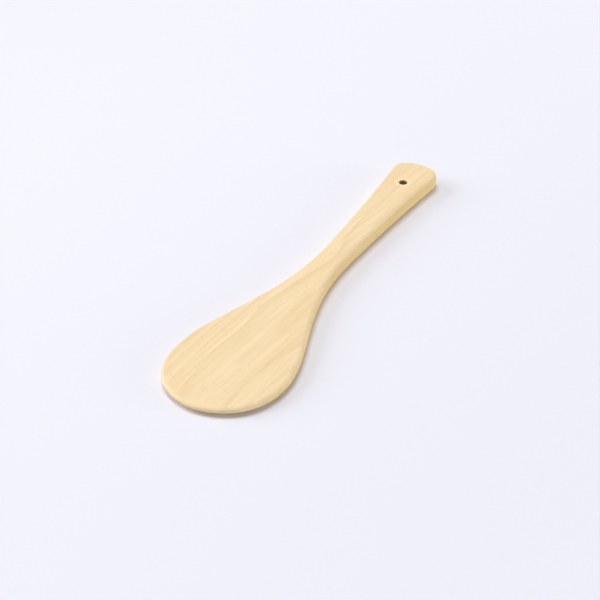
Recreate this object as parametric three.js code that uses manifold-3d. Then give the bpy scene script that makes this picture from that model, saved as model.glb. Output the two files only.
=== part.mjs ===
// Wooden rice paddle, cut from one board: an egg-shaped blade that is broadest near its tip, a slim
// neck, and a flat handle that widens to a rounded end with a hanging hole. The board thins from the
// neck to the blade tip and its edges are sanded round. Under the blade the rim is cut to a broad bevel.
// Millimetres, +Z up. +X runs from the blade tip to the handle end. The flat underside lies on
// Z = 0, and the origin is under the middle of the length.

import * as THREE from 'three';
import { mergeVertices } from 'three/addons/utils/BufferGeometryUtils.js';
import Module from 'manifold-3d';

// Lengths of the four stretches of the outline
const TIP_LENGTH = 35; // blade tip to the broadest part of the blade
const SHOULDER_LENGTH = 106; // broadest part to the narrowest part of the neck
const HANDLE_LENGTH = 89; // neck to where the end begins to round off
const END_LENGTH = 10; // the rounded end of the handle

// Widths
const BLADE_WIDTH = 63;
const NECK_WIDTH = 14.8;
const HANDLE_END_WIDTH = 25;

// Thicknesses
const TIP_THICKNESS = 4.5;
const HANDLE_THICKNESS = 8.5;

// Sanded edges
const TOP_EDGE_WIDTH = 2.6;
const TOP_EDGE_DEPTH = 1.5;
const UNDER_EDGE_WIDTH = 2.3; // along the handle
const BEVEL_WIDTH = 9; // of the bevel under the rim, at the blade tip
const UNDER_EDGE_DEPTH = 2.3;

// Hanging hole
const HOLE_DIAMETER = 4.5;
const HOLE_FROM_END = 21.5;
const HOLE_CHAMFER = 0.5;

// Shape of the outline's curves, each a share of the stretch that it bends
const TIP_BLUNTNESS = 0.31;
const BLADE_FULLNESS = 0.8;
const SHOULDER_FULLNESS = 0.27;
const NECK_HOLLOW = 0.47;
const NECK_RUN_OUT = 0.1;
const HANDLE_SWEEP = 0.37;
const HANDLE_FLARE = 0.108; // slope of the handle's sides where they meet the end
const END_CORNER_FULLNESS = 0.55;
const END_SQUARENESS = 0.75;

// How the thinning gathers towards the tip: 1 is an even wedge
const TAPER_CURVE = 1.5;

// How straight the bevel is cut at the tip: 0 is a full round, 1 is flat with a hard edge
const BEVEL_FLATNESS = 0.85;

// A rounded edge takes no more than these shares of the thickness where it is
const TOP_EDGE_SHARE = 0.36;
const UNDER_EDGE_SHARE = 0.5;

// Fineness of the surface
const TIP_STEPS = 26;
const SHOULDER_STEPS = 34;
const HANDLE_STEPS = 18;
const END_STEPS = 18;
const EDGE_STEPS = 5;
const HOLE_SIDES = 48;

const NECK_X = TIP_LENGTH + SHOULDER_LENGTH;
const END_X = NECK_X + HANDLE_LENGTH;
const LENGTH = END_X + END_LENGTH;

// One side of the outline, from the tip to the middle of the handle end
function sideCurves() {
  const blade = BLADE_WIDTH / 2;
  const neck = NECK_WIDTH / 2;
  const end = HANDLE_END_WIDTH / 2;
  const sweep = HANDLE_SWEEP * HANDLE_LENGTH;
  const corner = END_CORNER_FULLNESS * END_LENGTH;
  const at = (x, y) => new THREE.Vector2(x, y);
  const tip = new THREE.CubicBezierCurve(
    at(0, 0),
    at(0, TIP_BLUNTNESS * blade),
    at(TIP_LENGTH * (1 - BLADE_FULLNESS), blade),
    at(TIP_LENGTH, blade),
  );
  const shoulder = new THREE.CubicBezierCurve(
    at(TIP_LENGTH, blade),
    at(TIP_LENGTH + SHOULDER_FULLNESS * SHOULDER_LENGTH, blade),
    at(NECK_X - NECK_HOLLOW * SHOULDER_LENGTH, neck),
    at(NECK_X, neck),
  );
  const handle = new THREE.CubicBezierCurve(
    at(NECK_X, neck),
    at(NECK_X + NECK_RUN_OUT * HANDLE_LENGTH, neck),
    at(END_X - sweep, end - HANDLE_FLARE * sweep),
    at(END_X, end),
  );
  const roundedEnd = new THREE.CubicBezierCurve(
    at(END_X, end),
    at(END_X + corner, end + HANDLE_FLARE * corner),
    at(LENGTH, END_SQUARENESS * end),
    at(LENGTH, 0),
  );
  return [
    { curve: tip, steps: TIP_STEPS },
    { curve: shoulder, steps: SHOULDER_STEPS },
    { curve: handle, steps: HANDLE_STEPS },
    { curve: roundedEnd, steps: END_STEPS },
  ];
}

// Points along that side, each with the direction that leads straight into the board
function sidePoints() {
  const points = [];
  for (const { curve, steps } of sideCurves()) {
    const first = points.length === 0 ? 0 : 1;
    for (let step = first; step <= steps; step += 1) {
      const place = curve.getPoint(step / steps);
      const along = curve.getTangent(step / steps);
      points.push({ place, inward: new THREE.Vector2(along.y, -along.x) });
    }
  }
  return points;
}

// The board is level over the handle and thins from the neck, ever faster, to the tip
function thicknessAt(x) {
  const towardTip = THREE.MathUtils.clamp((NECK_X - x) / NECK_X, 0, 1);
  return THREE.MathUtils.lerp(HANDLE_THICKNESS, TIP_THICKNESS, towardTip ** TAPER_CURVE);
}

// The bevel under the rim is whole at the blade tip and runs out into a rounded edge at the neck
function bevelShareAt(x) {
  return 1 - THREE.MathUtils.smoothstep(x, 0, NECK_X);
}

// Rings of the surface from the underside to the top face: how far each lies inside the outline at
// a place along it, and its height there over a thickness
function edgeRings() {
  const rings = [];
  for (let step = 0; step <= EDGE_STEPS; step += 1) {
    const turn = (step / EDGE_STEPS) * (Math.PI / 2);
    rings.push({
      inset: (x) => {
        const width = THREE.MathUtils.lerp(UNDER_EDGE_WIDTH, BEVEL_WIDTH, bevelShareAt(x));
        return width * (1 - Math.sin(turn));
      },
      height: (x, thickness) => {
        const flatness = BEVEL_FLATNESS * bevelShareAt(x);
        const rise = THREE.MathUtils.lerp(1 - Math.cos(turn), Math.sin(turn), flatness);
        return Math.min(UNDER_EDGE_DEPTH, UNDER_EDGE_SHARE * thickness) * rise;
      },
    });
  }
  for (let step = 0; step <= EDGE_STEPS; step += 1) {
    const turn = (step / EDGE_STEPS) * (Math.PI / 2);
    rings.push({
      inset: () => TOP_EDGE_WIDTH * (1 - Math.cos(turn)),
      height: (x, thickness) =>
        thickness - Math.min(TOP_EDGE_DEPTH, TOP_EDGE_SHARE * thickness) * (1 - Math.sin(turn)),
    });
  }
  return rings;
}

// The board without its hole: the rings lofted together, closed below and above by strips that
// run straight across from side to side
function boardGeometry() {
  const side = sidePoints();
  const last = side.length - 1;
  const around = 2 * last;
  const rings = edgeRings();
  const positions = [];
  const triangles = [];
  for (const { inset, height } of rings) {
    for (let index = 0; index < around; index += 1) {
      const mirrored = index > last;
      const { place, inward } = side[mirrored ? around - index : index];
      const x = place.x + inset(place.x) * inward.x;
      const y = place.y + inset(place.x) * inward.y;
      const z = height(place.x, thicknessAt(x));
      positions.push(x - LENGTH / 2, mirrored ? -y : y, z);
    }
  }
  for (let ring = 0; ring < rings.length - 1; ring += 1) {
    for (let index = 0; index < around; index += 1) {
      const next = (index + 1) % around;
      const low = ring * around;
      const high = low + around;
      triangles.push(low + index, high + index, low + next);
      triangles.push(low + next, high + index, high + next);
    }
  }
  const top = (rings.length - 1) * around;
  for (let index = 0; index < last; index += 1) {
    const next = index + 1;
    const across = (around - index) % around;
    const nextAcross = around - next;
    const strip = [[index, next, nextAcross], [index, nextAcross, across]];
    for (const [a, b, c] of strip) {
      const pointed = a === c || b === c;
      if (!pointed) {
        triangles.push(a, b, c);
        triangles.push(top + a, top + c, top + b);
      }
    }
  }
  const geometry = new THREE.BufferGeometry();
  geometry.setAttribute('position', new THREE.Float32BufferAttribute(positions, 3));
  geometry.setIndex(triangles);
  return geometry;
}

// A drill bit with a countersink below and above, standing through the handle
function drillGeometry() {
  const radius = HOLE_DIAMETER / 2;
  const clear = HOLE_CHAMFER;
  const mouth = radius + HOLE_CHAMFER + clear;
  const profile = [
    new THREE.Vector2(0, -clear),
    new THREE.Vector2(mouth, -clear),
    new THREE.Vector2(radius, HOLE_CHAMFER),
    new THREE.Vector2(radius, HANDLE_THICKNESS - HOLE_CHAMFER),
    new THREE.Vector2(mouth, HANDLE_THICKNESS + clear),
    new THREE.Vector2(0, HANDLE_THICKNESS + clear),
  ];
  const geometry = new THREE.LatheGeometry(profile, HOLE_SIDES);
  geometry.rotateX(Math.PI / 2);
  geometry.translate(LENGTH / 2 - HOLE_FROM_END, 0, 0);
  return geometry;
}

const wasm = await Module();
wasm.setup();

function toSolid(geometry) {
  geometry.deleteAttribute('normal');
  geometry.deleteAttribute('uv');
  const merged = mergeVertices(geometry);
  return new wasm.Manifold(new wasm.Mesh({
    numProp: 3,
    vertProperties: new Float32Array(merged.attributes.position.array),
    triVerts: new Uint32Array(merged.index.array),
  }));
}

function toGeometry(solid) {
  const mesh = solid.getMesh();
  const geometry = new THREE.BufferGeometry();
  geometry.setAttribute('position', new THREE.BufferAttribute(mesh.vertProperties, mesh.numProp));
  geometry.setIndex(new THREE.BufferAttribute(mesh.triVerts, 1));
  geometry.computeVertexNormals();
  return geometry;
}

const wood = new THREE.MeshStandardMaterial({ color: 0xf2d6a6, roughness: 0.6, metalness: 0 });
const paddle = new THREE.Mesh(
  toGeometry(toSolid(boardGeometry()).subtract(toSolid(drillGeometry()))),
  wood,
);
paddle.name = 'paddle';

const ricePaddle = new THREE.Group();
ricePaddle.add(paddle);

export default ricePaddle;
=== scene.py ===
"""A wooden rice paddle, cut and sanded from one board of pale wood, lying on a pale surface.

Metres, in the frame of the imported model: +X runs from the blade tip to the handle end, +Z is up, and
the flat underside lies on Z = 0.
"""

import math

import bmesh
import bpy
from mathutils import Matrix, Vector
from mathutils.geometry import interpolate_bezier
from mathutils.kdtree import KDTree


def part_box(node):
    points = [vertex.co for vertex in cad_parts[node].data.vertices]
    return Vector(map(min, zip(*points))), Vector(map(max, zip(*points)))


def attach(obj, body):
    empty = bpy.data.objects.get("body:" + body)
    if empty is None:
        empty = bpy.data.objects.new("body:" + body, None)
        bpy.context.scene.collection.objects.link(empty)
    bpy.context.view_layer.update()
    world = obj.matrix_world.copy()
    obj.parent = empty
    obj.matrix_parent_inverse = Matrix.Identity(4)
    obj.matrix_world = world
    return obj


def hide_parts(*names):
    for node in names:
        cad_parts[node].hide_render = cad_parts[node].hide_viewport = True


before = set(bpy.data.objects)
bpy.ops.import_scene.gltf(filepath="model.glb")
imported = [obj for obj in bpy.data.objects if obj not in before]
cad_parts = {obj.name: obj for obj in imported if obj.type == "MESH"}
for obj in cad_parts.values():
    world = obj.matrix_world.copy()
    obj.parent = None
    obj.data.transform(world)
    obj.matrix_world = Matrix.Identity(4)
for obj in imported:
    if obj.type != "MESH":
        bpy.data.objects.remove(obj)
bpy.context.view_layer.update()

MM = 0.001

# The board, in the same sizes as the solid that it stands for
BOARD_LOW, BOARD_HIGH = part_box("paddle")
LENGTH = BOARD_HIGH.x - BOARD_LOW.x
BLADE_WIDTH = BOARD_HIGH.y - BOARD_LOW.y
HANDLE_THICKNESS = BOARD_HIGH.z - BOARD_LOW.z
TIP_LENGTH = 35 * MM
SHOULDER_LENGTH = 106 * MM
END_LENGTH = 10 * MM
HANDLE_LENGTH = LENGTH - TIP_LENGTH - SHOULDER_LENGTH - END_LENGTH
NECK_WIDTH = 14.8 * MM
HANDLE_END_WIDTH = 25 * MM
TIP_THICKNESS = 4.5 * MM
TAPER_CURVE = 1.5
TOP_EDGE_WIDTH = 2.6 * MM
TOP_EDGE_DEPTH = 1.5 * MM
UNDER_EDGE_WIDTH = 2.3 * MM
UNDER_EDGE_DEPTH = 2.3 * MM
BEVEL_WIDTH = 9 * MM
BEVEL_FLATNESS = 0.85
TOP_EDGE_SHARE = 0.36
UNDER_EDGE_SHARE = 0.5
HOLE_DIAMETER = 4.5 * MM
HOLE_FROM_END = 21.5 * MM
HOLE_CHAMFER = 0.5 * MM

# Shape of the outline's curves, each a share of the stretch that it bends
TIP_BLUNTNESS = 0.31
BLADE_FULLNESS = 0.8
SHOULDER_FULLNESS = 0.27
NECK_HOLLOW = 0.47
NECK_RUN_OUT = 0.1
HANDLE_SWEEP = 0.37
HANDLE_FLARE = 0.108
END_CORNER_FULLNESS = 0.55
END_SQUARENESS = 0.75

# Fineness of the mesh
TIP_STEPS = 44
SHOULDER_STEPS = 50
HANDLE_STEPS = 34
END_STEPS = 32
EDGE_SEGMENTS = 8
HOLE_RIM_SEGMENTS = 4
CUT_SPACING = 4 * MM
CUT_SNAP = 0.02 * MM
SAME_HEIGHT = 0.01 * MM
SAME_PLACE = 0.1 * MM
HOLE_CELL = 10 * MM
HOLE_CELL_LIP = 0.05 * MM
HOLE_CUTS = 15

TIP_X = BOARD_LOW.x
NECK_X = TIP_X + TIP_LENGTH + SHOULDER_LENGTH
END_X = NECK_X + HANDLE_LENGTH
HOLE_X = BOARD_HIGH.x - HOLE_FROM_END

# The camera, placed by the photograph, with its angles round and above the paddle in degrees
CAMERA_ROUND = -60.75
CAMERA_HEIGHT = 35.2
CAMERA_DISTANCE = 1.2
CAMERA_LENS = 141.0
CAMERA_LEFT = 7.42 * MM
CAMERA_DOWN = 7.02 * MM

# How the board lies in the tree, and its growth rings
GRAIN_TURN = math.radians(6)
GRAIN_DIP = math.radians(2)
PITH_SIDE = -14 * MM
PITH_BELOW = -52 * MM
RING_WIDTH = 2.4 * MM
RING_WAVER = 7 * MM
RING_CURVE = 2.2
RING_CLOSE = (0.88, 1.0)
SEASON_PACE = 0.9
SEASON_BAND = (0.3, 0.7)
WEAK_SEASON = 0.3

# How close the figure lies along, across and through the grain, in bumps to the metre
WAVER_PACE = (9, 30, 30)
BROAD_FIBRE_PACE = (22, 420, 420)
FINE_FIBRE_PACE = (70, 2200, 2200)
FLECK_PACE = (190, 1700, 1700)
TONE_PACE = (11, 34, 34)

# Which values of a noise begin and end a part of the figure, and how strongly that part shows
BROAD_FIBRE_SHARE = 0.6
FLECK_SHAPE = (0.08, 0.34)
FLECK_CHANCE = (0.3, 0.8)
TONE_BAND = (0.36, 0.66)
STREAK_BAND = (0.32, 0.68)
SHEEN_BAND = (0.3, 0.7)
RING_COLOUR = 0.72
TONE_COLOUR = 0.55
STREAK_COLOUR = 0.42
FLECK_COLOUR = 0.26
SHEEN_SPREAD = 0.07
FLECK_ROUGHNESS = 0.15
RING_RELIEF = 0.35
RELIEF_STRENGTH = 0.6

# Paler rims and tinted sides: the rims round the hole and at the tip carry painted highlights. The sides
# carry the side grain's own deeper tone together with painted shade and warm bounce light, and are painted
# lighter at the tip. The bands go by how level the surface is, from 0 upright to 1 flat
HOLE_RIM_WIDTH = 1.4 * MM
HOLE_RIM_FADE = 3.2 * MM
TIP_RIM_LENGTH = 8 * MM
TIP_RIM_FADE = 34 * MM
TIP_SIDE_PAINTED_LIGHT = 0.65
RIM_HIGHLIGHT_BAND = (0.75, 0.985)
SIDE_BAND = (0.25, 0.9)
SIDE_GRAIN_AND_SHADE_TINT = (1.0, 0.975, 0.75, 1)

# The floor and the light, with the angles of the lamps in degrees
FLOOR_DROP = 0.2 * MM
FLOOR_SIZE = 6.0
FLOOR_COLOUR = (0.91, 0.91, 0.99, 1)
FLOOR_ROUGHNESS = 0.9
BACKGROUND_COLOUR = (0.905, 0.905, 0.985, 1)
BACKGROUND_BAND = (0.12, 0.5)
SKY_COLOUR = (1, 1, 1, 1)
SKY_STRENGTH = 0.34
SOFTBOX_ROUND = 150
SOFTBOX_HEIGHT = 76
SOFTBOX_SIZE = 1.6
SOFTBOX_POWER = 40
WINDOW_ROUND = 195
WINDOW_HEIGHT = 28
WINDOW_SIZE = 2.4
WINDOW_POWER = 44
FILL_ROUND = 16
FILL_HEIGHT = 8
FILL_SIZE = 1.2
FILL_POWER = 23
LAMP_DISTANCE = 3.0


def direction(round_angle, height_angle):
    """The way out from the paddle to a place round it: 0 stands in front, on -Y, and 90 on +X."""
    around = math.radians(round_angle)
    up = math.radians(height_angle)
    flat = math.cos(up)
    return Vector((math.sin(around) * flat, -math.cos(around) * flat, math.sin(up)))


def add_object(name, data):
    thing = bpy.data.objects.new(name, data)
    bpy.context.collection.objects.link(thing)
    return thing


def aim(thing, outward):
    """Turns a camera or lamp that stands along outward so that it looks back at the paddle."""
    thing.rotation_mode = "QUATERNION"
    thing.rotation_quaternion = (-outward).to_track_quat("-Z", "Y")


def place_camera():
    back = direction(CAMERA_ROUND, CAMERA_HEIGHT)
    camera = add_object("camera", bpy.data.cameras.new("camera"))
    aim(camera, back)
    right = camera.rotation_quaternion @ Vector((1, 0, 0))
    up = camera.rotation_quaternion @ Vector((0, 1, 0))
    camera.location = back * CAMERA_DISTANCE - right * CAMERA_LEFT - up * CAMERA_DOWN
    camera.data.lens = CAMERA_LENS
    bpy.context.scene.camera = camera


def side_line():
    """One side of the board's outline, from the blade tip to the middle of the handle end."""
    blade = BLADE_WIDTH / 2
    neck = NECK_WIDTH / 2
    end = HANDLE_END_WIDTH / 2
    widest = TIP_X + TIP_LENGTH
    sweep = HANDLE_SWEEP * HANDLE_LENGTH
    corner = END_CORNER_FULLNESS * END_LENGTH
    spans = [
        (TIP_STEPS, (TIP_X, 0), (TIP_X, TIP_BLUNTNESS * blade),
         (widest - BLADE_FULLNESS * TIP_LENGTH, blade), (widest, blade)),
        (SHOULDER_STEPS, (widest, blade), (widest + SHOULDER_FULLNESS * SHOULDER_LENGTH, blade),
         (NECK_X - NECK_HOLLOW * SHOULDER_LENGTH, neck), (NECK_X, neck)),
        (HANDLE_STEPS, (NECK_X, neck), (NECK_X + NECK_RUN_OUT * HANDLE_LENGTH, neck),
         (END_X - sweep, end - HANDLE_FLARE * sweep), (END_X, end)),
        (END_STEPS, (END_X, end), (END_X + corner, end + HANDLE_FLARE * corner),
         (BOARD_HIGH.x, END_SQUARENESS * end), (BOARD_HIGH.x, 0)),
    ]
    line = [Vector((TIP_X, 0, 0))]
    for steps, *controls in spans:
        points = interpolate_bezier(*(Vector((x, y, 0)) for x, y in controls), steps + 1)
        line.extend(points[1:])
    return line


def neck_share(x):
    """Rises smoothly from 0 at the blade tip to 1 at the neck, and stays there along the handle."""
    share = min(max((x - TIP_X) / (NECK_X - TIP_X), 0.0), 1.0)
    return share * share * (3 - 2 * share)


def thickness_at(x):
    """The board is level over the handle and thins from the neck, ever faster, to the tip."""
    toward_tip = min(max((NECK_X - x) / (NECK_X - TIP_X), 0.0), 1.0)
    return HANDLE_THICKNESS - (HANDLE_THICKNESS - TIP_THICKNESS) * toward_tip ** TAPER_CURVE


def rim_edges(bm, height):
    return [e for e in bm.edges if all(abs(v.co.z - height) < SAME_HEIGHT for v in e.verts)]


def cut_across(bm, place, normal):
    geometry = bm.verts[:] + bm.edges[:] + bm.faces[:]
    bmesh.ops.bisect_plane(bm, geom=geometry, dist=CUT_SNAP, plane_co=place, plane_no=normal)


def blank_board(bm):
    """The outline sawn from a level board, with its edges rounded."""
    side = side_line()
    mirrored = [Vector((p.x, -p.y, 0)) for p in side[-2:0:-1]]
    outline = side + mirrored
    disc = bmesh.ops.create_circle(bm, cap_ends=True, segments=len(outline), radius=LENGTH / 2)
    for vertex, place in zip(disc["verts"], outline):
        vertex.co = place
    raised = bmesh.ops.extrude_face_region(bm, geom=bm.faces[:])
    lifted = [g for g in raised["geom"] if isinstance(g, bmesh.types.BMVert)]
    bmesh.ops.translate(bm, verts=lifted, vec=(0, 0, HANDLE_THICKNESS))
    for height, width in ((HANDLE_THICKNESS, TOP_EDGE_WIDTH), (0.0, UNDER_EDGE_WIDTH)):
        bmesh.ops.bevel(
            bm, geom=rim_edges(bm, height), offset=width, offset_type="OFFSET", affect="EDGES",
            segments=EDGE_SEGMENTS, profile=0.5, clamp_overlap=False, material=-1,
        )
    bevel_blade(bm, outline)


def bevel_blade(bm, outline):
    """Draws the underside's rounded edge out under the blade, into a broad and nearly flat bevel."""
    rim = KDTree(len(outline))
    for index, place in enumerate(outline):
        rim.insert(place, index)
    rim.balance()
    for vertex in bm.verts:
        if vertex.co.z < UNDER_EDGE_WIDTH:
            under = Vector((vertex.co.x, vertex.co.y, 0))
            edge = rim.find(under)[0]
            inset = under - edge
            share = 1 - neck_share(edge.x)
            straight = max(UNDER_EDGE_WIDTH - inset.length, 0.0)
            vertex.co.z += (straight - vertex.co.z) * BEVEL_FLATNESS * share
            spread = 1 + (BEVEL_WIDTH / UNDER_EDGE_WIDTH - 1) * share
            vertex.co.xy = (edge + inset * spread).xy


def thin_blade(bm):
    """Planes the top down from the neck to the tip, and eases both rounded edges to their depths."""
    for vertex in bm.verts:
        thickness = thickness_at(vertex.co.x)
        if vertex.co.z > HANDLE_THICKNESS / 2:
            depth = min(TOP_EDGE_DEPTH, TOP_EDGE_SHARE * thickness)
            vertex.co.z = thickness - (HANDLE_THICKNESS - vertex.co.z) * depth / TOP_EDGE_WIDTH
        else:
            depth = min(UNDER_EDGE_DEPTH, UNDER_EDGE_SHARE * thickness)
            vertex.co.z *= depth / UNDER_EDGE_WIDTH


def drill_hole(bm):
    """The hanging hole: a round hole through the handle, with softened rims and a wall of its own."""
    half = HOLE_CELL / 2
    for offset in (-half, half):
        cut_across(bm, (HOLE_X + offset, 0, 0), (1, 0, 0))
        cut_across(bm, (0, offset, 0), (0, 1, 0))
    mouth = HOLE_DIAMETER / 2
    rims = []
    for height in (0.0, HANDLE_THICKNESS):
        level = Vector((HOLE_X, 0, height))
        cell = next(f for f in bm.faces if (f.calc_center_median() - level).length < SAME_PLACE)
        bmesh.ops.bisect_edges(bm, edges=cell.edges[:], cuts=HOLE_CUTS)
        bmesh.ops.inset_region(bm, faces=[cell], thickness=HOLE_CELL_LIP)
        for vertex in cell.verts:
            vertex.co = level + (vertex.co - level).normalized() * mouth
        rims.extend(cell.edges[:])
        bmesh.ops.delete(bm, geom=[cell], context="FACES_ONLY")
    wall = bmesh.ops.bridge_loops(bm, edges=rims)["faces"]
    for face in wall:
        face.material_index = 1
    bmesh.ops.bevel(
        bm, geom=[e for e in rims if e.is_valid], offset=HOLE_CHAMFER, offset_type="OFFSET",
        affect="EDGES", segments=HOLE_RIM_SEGMENTS, profile=0.5, clamp_overlap=False, material=0,
    )


def make_paddle():
    bm = bmesh.new()
    blank_board(bm)
    for step in range(1, int(LENGTH / CUT_SPACING)):
        x = TIP_X + step * CUT_SPACING
        if abs(x - HOLE_X) > HOLE_CELL / 2:
            cut_across(bm, (x, 0, 0), (1, 0, 0))
    thin_blade(bm)
    drill_hole(bm)
    bmesh.ops.recalc_face_normals(bm, faces=bm.faces[:])
    for face in bm.faces:
        face.smooth = True
    mesh = bpy.data.meshes.new("rice_paddle")
    bm.to_mesh(mesh)
    bm.free()
    return add_object("rice_paddle", mesh)


class Sheet:
    """Adds nodes to one node tree and wires them: a feed is a socket to link or a plain value."""

    def __init__(self, tree):
        self.tree = tree

    def add(self, kind, feeds, **settings):
        node = self.tree.nodes.new(kind)
        for name, value in settings.items():
            setattr(node, name, value)
        for key, feed in feeds.items():
            self.feed(node.inputs[key], feed)
        return node

    def feed(self, socket, feed):
        if isinstance(feed, bpy.types.NodeSocket):
            self.tree.links.new(feed, socket)
        else:
            socket.default_value = feed

    def math(self, operation, *feeds):
        return self.add("ShaderNodeMath", dict(enumerate(feeds)), operation=operation).outputs[0]

    def vector(self, operation, *feeds):
        node = self.add("ShaderNodeVectorMath", dict(enumerate(feeds)), operation=operation)
        return node.outputs["Value" if operation == "LENGTH" else "Vector"]

    def part(self, vector, axis):
        return self.add("ShaderNodeSeparateXYZ", {0: vector}).outputs[axis]

    def remap(self, value, band, low=0.0, high=1.0):
        """Fades smoothly from low to high as the value crosses the band."""
        feeds = {"Value": value, "From Min": band[0], "From Max": band[1],
                 "To Min": low, "To Max": high}
        return self.add("ShaderNodeMapRange", feeds, interpolation_type="SMOOTHSTEP").outputs[0]

    def fade_out(self, value, band):
        return self.remap(value, band, 1.0, 0.0)

    def clouds(self, vector, pace, detail, roughness):
        """Noise over a stretched space, with a pace for each direction, in bumps to the metre."""
        feeds = {"Vector": self.vector("MULTIPLY", vector, pace), "Scale": 1.0,
                 "Detail": detail, "Roughness": roughness}
        return self.add("ShaderNodeTexNoise", feeds).outputs

    def mix(self, amount, first, second, blend="MIX"):
        feeds = {0: amount, 6: first, 7: second}
        node = self.add("ShaderNodeMix", feeds, data_type="RGBA", blend_type=blend)
        return node.outputs[2]


def growth_rings(sheet, grain):
    """Rings round the pith, which lies under the board, wavering along the trunk."""
    drift = sheet.clouds(grain, WAVER_PACE, detail=2.0, roughness=0.5)["Color"]
    centred = sheet.vector("SUBTRACT", drift, (0.5, 0.5, 0.5))
    sway = sheet.vector("MULTIPLY", centred, (0, RING_WAVER, RING_WAVER))
    swayed = sheet.vector("ADD", grain, sway)
    from_pith = sheet.vector("SUBTRACT", swayed, (0, PITH_SIDE, PITH_BELOW))
    radius = sheet.vector("LENGTH", sheet.vector("MULTIPLY", from_pith, (0, 1, 1)))
    count = sheet.math("DIVIDE", radius, RING_WIDTH)
    growth = sheet.math("FRACT", count)
    darkening = sheet.math("POWER", growth, RING_CURVE)
    ring = sheet.math("MULTIPLY", darkening, sheet.fade_out(growth, RING_CLOSE))
    seasons = {"W": count, "Scale": SEASON_PACE}
    season = sheet.add("ShaderNodeTexNoise", seasons, noise_dimensions="1D").outputs[0]
    return sheet.math("MULTIPLY", ring, sheet.remap(season, SEASON_BAND, WEAK_SEASON, 1.0))


def drawn_fibres(sheet, grain):
    """Fibres drawn out along the grain, in a broad and a fine layer."""
    broad = sheet.clouds(grain, BROAD_FIBRE_PACE, detail=3.0, roughness=0.6)[0]
    fine = sheet.clouds(grain, FINE_FIBRE_PACE, detail=2.0, roughness=0.55)[0]
    fine_part = sheet.math("MULTIPLY", fine, 1 - BROAD_FIBRE_SHARE)
    return sheet.math("MULTIPLY_ADD", broad, BROAD_FIBRE_SHARE, fine_part)


def dark_flecks(sheet, grain):
    """Short dark dashes, each in its own cell, in some of the cells."""
    cells = sheet.vector("MULTIPLY", grain, FLECK_PACE)
    dashes = sheet.add("ShaderNodeTexVoronoi", {"Vector": cells, "Scale": 1.0}).outputs
    dash = sheet.fade_out(dashes["Distance"], FLECK_SHAPE)
    draw = sheet.add("ShaderNodeSeparateColor", {0: dashes["Color"]}).outputs[0]
    return sheet.math("MULTIPLY", dash, sheet.remap(draw, FLECK_CHANCE))


def painted_rim_highlights(sheet, place, tip, level):
    """Painted highlights: the rim round the hanging hole and the rounded edge along the blade tip, made
    paler.
    """
    from_hole = sheet.vector("SUBTRACT", place, (HOLE_X, 0, 0))
    distance = sheet.vector("LENGTH", sheet.vector("MULTIPLY", from_hole, (1, 1, 0)))
    mouth = HOLE_DIAMETER / 2
    hole_rim = sheet.fade_out(distance, (mouth + HOLE_RIM_WIDTH, mouth + HOLE_RIM_FADE))
    tip_rim = sheet.math("MULTIPLY", tip, sheet.fade_out(level, RIM_HIGHLIGHT_BAND))
    return sheet.math("MAXIMUM", hole_rim, tip_rim)


def sides_grain_and_shade(sheet, tip, level):
    """The sides, tinted deeper and yellower than the faces: partly the side grain's own tone, partly
    painted shade and warm bounce light, and painted lighter at the tip.
    """
    kept = sheet.math("MULTIPLY_ADD", tip, -TIP_SIDE_PAINTED_LIGHT, 1.0)
    return sheet.math("MULTIPLY", sheet.fade_out(level, SIDE_BAND), kept)


def wood_grain_group():
    """The figure of the wood as a solid pattern, with masks for its painted rim highlights and for its
    sides, which carry painted shade as well as side grain.
    """
    tree = bpy.data.node_groups.new("wood_grain", "ShaderNodeTree")
    for name in ("Place", "Facing"):
        tree.interface.new_socket(name, in_out="INPUT", socket_type="NodeSocketVector")
    for name in ("Rings", "Fibres", "Flecks", "Tone", "RimHighlight", "Side"):
        tree.interface.new_socket(name, in_out="OUTPUT", socket_type="NodeSocketFloat")
    sheet = Sheet(tree)
    given = sheet.add("NodeGroupInput", {}).outputs
    place = given["Place"]
    turned = {"Vector": place, "Rotation": (0.0, GRAIN_DIP, GRAIN_TURN)}
    grain = sheet.add("ShaderNodeMapping", turned).outputs[0]
    level = sheet.math("ABSOLUTE", sheet.part(given["Facing"], "Z"))
    tip = sheet.fade_out(sheet.part(place, "X"), (TIP_X + TIP_RIM_LENGTH, TIP_X + TIP_RIM_FADE))
    sheet.add("NodeGroupOutput", {
        "Rings": growth_rings(sheet, grain),
        "Fibres": drawn_fibres(sheet, grain),
        "Flecks": dark_flecks(sheet, grain),
        "Tone": sheet.clouds(grain, TONE_PACE, detail=3.0, roughness=0.55)[0],
        "RimHighlight": painted_rim_highlights(sheet, place, tip, level),
        "Side": sides_grain_and_shade(sheet, tip, level),
    })
    return tree


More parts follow.
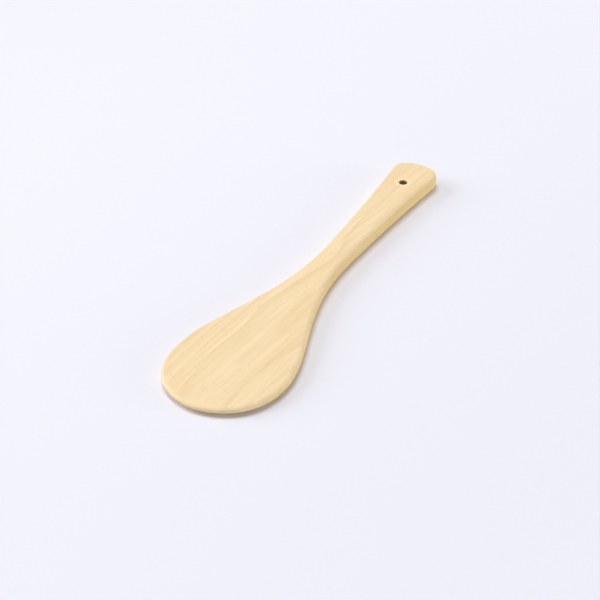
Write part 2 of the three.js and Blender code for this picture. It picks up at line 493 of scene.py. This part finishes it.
def wood_material(name, grain, early, late, warm, fleck, roughness, relief, rim_highlight):
    """Wood whose figure lies between an early and a late colour, with warm drifts and dark flecks."""
    material = bpy.data.materials.new(name)
    material.use_nodes = True
    sheet = Sheet(material.node_tree)
    shader = material.node_tree.nodes["Principled BSDF"]
    coordinates = sheet.add("ShaderNodeTexCoord", {}).outputs
    group = sheet.add("ShaderNodeGroup", {}, node_tree=grain)
    sheet.feed(group.inputs["Place"], coordinates["Object"])
    sheet.feed(group.inputs["Facing"], coordinates["Normal"])
    figure = group.outputs
    rings = figure["Rings"]
    fibres = figure["Fibres"]
    flecks = figure["Flecks"]

    ringed = sheet.mix(sheet.math("MULTIPLY", rings, RING_COLOUR), early, late)
    drifted = sheet.mix(sheet.remap(figure["Tone"], TONE_BAND, 0.0, TONE_COLOUR), ringed, warm)
    streaked = sheet.mix(sheet.remap(fibres, STREAK_BAND, 0.0, STREAK_COLOUR), drifted, late)
    # Painted highlight: the rims round the hole and the rounded edge at the tip are mixed toward the pale
    # early colour
    rim_highlighted = sheet.mix(sheet.math("MULTIPLY", figure["RimHighlight"], rim_highlight), streaked, early)
    flecked = sheet.mix(sheet.math("MULTIPLY", flecks, FLECK_COLOUR), rim_highlighted, fleck)
    # The sides are tinted: the side grain's own deeper tone plus painted shade and warm bounce light,
    # painted lighter at the tip
    tinted = sheet.mix(figure["Side"], flecked, SIDE_GRAIN_AND_SHADE_TINT, "MULTIPLY")
    sheet.feed(shader.inputs["Base Color"], tinted)

    sheen = sheet.remap(fibres, SHEEN_BAND, roughness - SHEEN_SPREAD, roughness + SHEEN_SPREAD)
    dulled = sheet.math("MULTIPLY_ADD", flecks, FLECK_ROUGHNESS, sheen)
    sheet.feed(shader.inputs["Roughness"], dulled)
    ridges = sheet.math("MULTIPLY_ADD", rings, RING_RELIEF, fibres)
    pitted = sheet.math("SUBTRACT", ridges, flecks)
    bump = {"Height": pitted, "Distance": relief, "Strength": RELIEF_STRENGTH}
    sheet.feed(shader.inputs["Normal"], sheet.add("ShaderNodeBump", bump).outputs[0])
    return material


def dress_paddle(paddle):
    """Sanded wood all over, and rougher wood on the wall of the hole, its colours darkened as painted
    shade for the inside of the narrow hole.
    """
    grain = wood_grain_group()
    paddle.data.materials.append(wood_material(
        "sanded_wood", grain, early=(0.985, 0.785, 0.49, 1), late=(0.81, 0.565, 0.285, 1),
        warm=(0.92, 0.69, 0.39, 1), fleck=(0.50, 0.31, 0.14, 1), roughness=0.54, relief=0.06 * MM,
        rim_highlight=0.8,
    ))
    # Painted shade: the hole's wall gets dark colours for the shade inside the deep, narrow hole
    paddle.data.materials.append(wood_material(
        "hole_wall_painted_shade", grain, early=(0.46, 0.31, 0.165, 1), late=(0.31, 0.195, 0.095, 1),
        warm=(0.38, 0.25, 0.125, 1), fleck=(0.14, 0.085, 0.04, 1), roughness=0.8, relief=0.1 * MM,
        rim_highlight=0.0,
    ))


def seen_directly(sheet):
    """1 for a ray that shows a surface in the picture, a mirror or glass, and 0 for one that lights it."""
    path = sheet.add("ShaderNodeLightPath", {}).outputs
    mirrored = sheet.math("MAXIMUM", path["Is Glossy Ray"], path["Is Transmission Ray"])
    return sheet.math("MAXIMUM", path["Is Camera Ray"], mirrored)


def floor_material():
    """Pale and matt, lit round the paddle and running out into an even pale background."""
    material = bpy.data.materials.new("pale_floor")
    material.use_nodes = True
    sheet = Sheet(material.node_tree)
    shader = material.node_tree.nodes["Principled BSDF"]
    shader.inputs["Base Color"].default_value = FLOOR_COLOUR
    shader.inputs["Roughness"].default_value = FLOOR_ROUGHNESS
    shader.inputs["Specular IOR Level"].default_value = 0.0
    place = sheet.add("ShaderNodeTexCoord", {}).outputs["Object"]
    away = sheet.remap(sheet.vector("LENGTH", place), BACKGROUND_BAND)
    glow = sheet.add("ShaderNodeEmission", {"Color": BACKGROUND_COLOUR, "Strength": 1.0})
    share = sheet.math("MULTIPLY", away, seen_directly(sheet))
    both = sheet.add("ShaderNodeMixShader", {0: share, 1: shader.outputs[0], 2: glow.outputs[0]})
    sheet.feed(material.node_tree.nodes["Material Output"].inputs["Surface"], both.outputs[0])
    return material


def make_floor():
    bm = bmesh.new()
    bmesh.ops.create_grid(bm, x_segments=1, y_segments=1, size=FLOOR_SIZE / 2)
    bmesh.ops.translate(bm, verts=bm.verts[:], vec=(0, 0, -FLOOR_DROP))
    mesh = bpy.data.meshes.new("floor")
    bm.to_mesh(mesh)
    bm.free()
    mesh.materials.append(floor_material())
    add_object("floor", mesh)


def light_scene():
    """An even sky, a softbox overhead, a wide low window behind and a weak, low fill in front."""
    world = bpy.data.worlds.new("studio")
    bpy.context.scene.world = world
    world.use_nodes = True
    sheet = Sheet(world.node_tree)
    sky = world.node_tree.nodes["Background"]
    sky.inputs["Color"].default_value = SKY_COLOUR
    sky.inputs["Strength"].default_value = SKY_STRENGTH
    backdrop = sheet.add("ShaderNodeBackground", {"Color": BACKGROUND_COLOUR, "Strength": 1.0})
    feeds = {0: seen_directly(sheet), 1: sky.outputs[0], 2: backdrop.outputs[0]}
    both = sheet.add("ShaderNodeMixShader", feeds)
    sheet.feed(world.node_tree.nodes["World Output"].inputs["Surface"], both.outputs[0])
    place_lamp("softbox", SOFTBOX_ROUND, SOFTBOX_HEIGHT, SOFTBOX_SIZE, SOFTBOX_POWER)
    place_lamp("window", WINDOW_ROUND, WINDOW_HEIGHT, WINDOW_SIZE, WINDOW_POWER)
    place_lamp("fill", FILL_ROUND, FILL_HEIGHT, FILL_SIZE, FILL_POWER)


def place_lamp(name, round_angle, height_angle, size, power):
    light = bpy.data.lights.new(name, "AREA")
    light.shape = "DISK"
    light.size = size
    light.energy = power
    out = direction(round_angle, height_angle)
    lamp = add_object(name, light)
    lamp.location = out * LAMP_DISTANCE
    aim(lamp, out)


bpy.context.scene.view_settings.view_transform = "Standard"
place_camera()
paddle = make_paddle()
dress_paddle(paddle)
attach(paddle, "root")
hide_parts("paddle")
make_floor()
light_scene()
